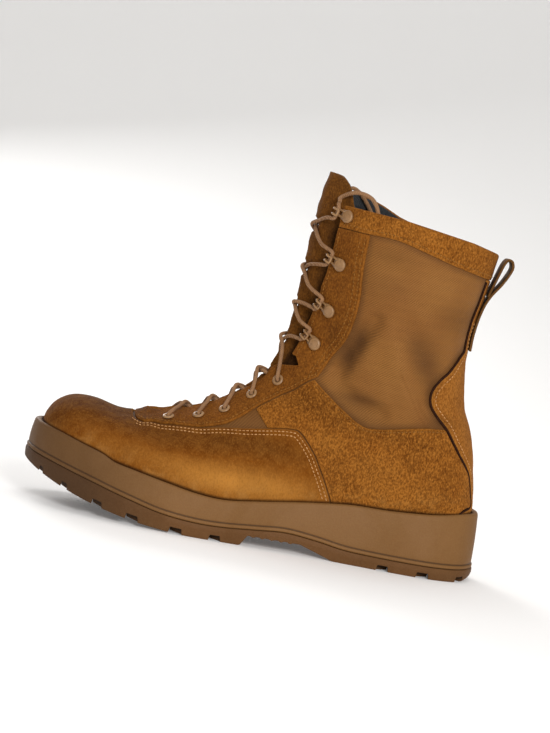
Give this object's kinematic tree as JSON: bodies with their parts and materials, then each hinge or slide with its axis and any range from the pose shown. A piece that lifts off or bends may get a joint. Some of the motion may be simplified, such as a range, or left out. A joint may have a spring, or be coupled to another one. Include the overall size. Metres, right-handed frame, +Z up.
{
  "type": "combat boot",
  "caption": "Left lace-up combat boot with a suede and textile shaft, hooks and eyelets, a moulded cushion midsole and a lugged outsole.",
  "frame": {"origin": "on the floor under the middle of the heel's flat tread", "axes": "+X from toe to heel, +Y towards the inner side of the foot, +Z up"},
  "size_m": [0.3113, 0.1111, 0.2507],
  "materials": {
    "textile": "woven nylon",
    "suede": "roughout suede",
    "midsole": "smooth matte foam",
    "outsole": "matte rubber",
    "lining": "dark lining",
    "webbing": "woven strap",
    "hardware": "matte tan enamel",
    "lace": "braided cord"
  },
  "bodies": {
    "root": {"upper": "textile", "insole": "lining", "midsole": "midsole", "outsole": "outsole", "tongue": "suede", "vamp": "suede", "eyestay_lateral": "suede", "eyestay_medial": "suede", "quarter_lateral": "suede", "quarter_medial": "suede", "cuff_lateral": "suede", "cuff_medial": "suede", "backstay": "suede", "pull_loop": "webbing", "eyelet_lateral_1": "hardware", "eyelet_lateral_2": "hardware", "eyelet_lateral_3": "hardware", "eyelet_lateral_4": "hardware", "eyelet_lateral_5": "hardware", "hook_lateral_1": "hardware", "hook_lateral_2": "hardware", "hook_lateral_3": "hardware", "hook_lateral_4": "hardware", "lace_end_lateral": "lace", "eyelet_medial_1": "hardware", "eyelet_medial_2": "hardware", "eyelet_medial_3": "hardware", "eyelet_medial_4": "hardware", "eyelet_medial_5": "hardware", "hook_medial_1": "hardware", "hook_medial_2": "hardware", "hook_medial_3": "hardware", "hook_medial_4": "hardware", "lace_end_medial": "lace", "lace_crossing_1": "lace", "lace_crossing_2": "lace", "lace_crossing_3": "lace", "lace_crossing_4": "lace", "lace_run": "lace"}
  },
  "joints": []
}
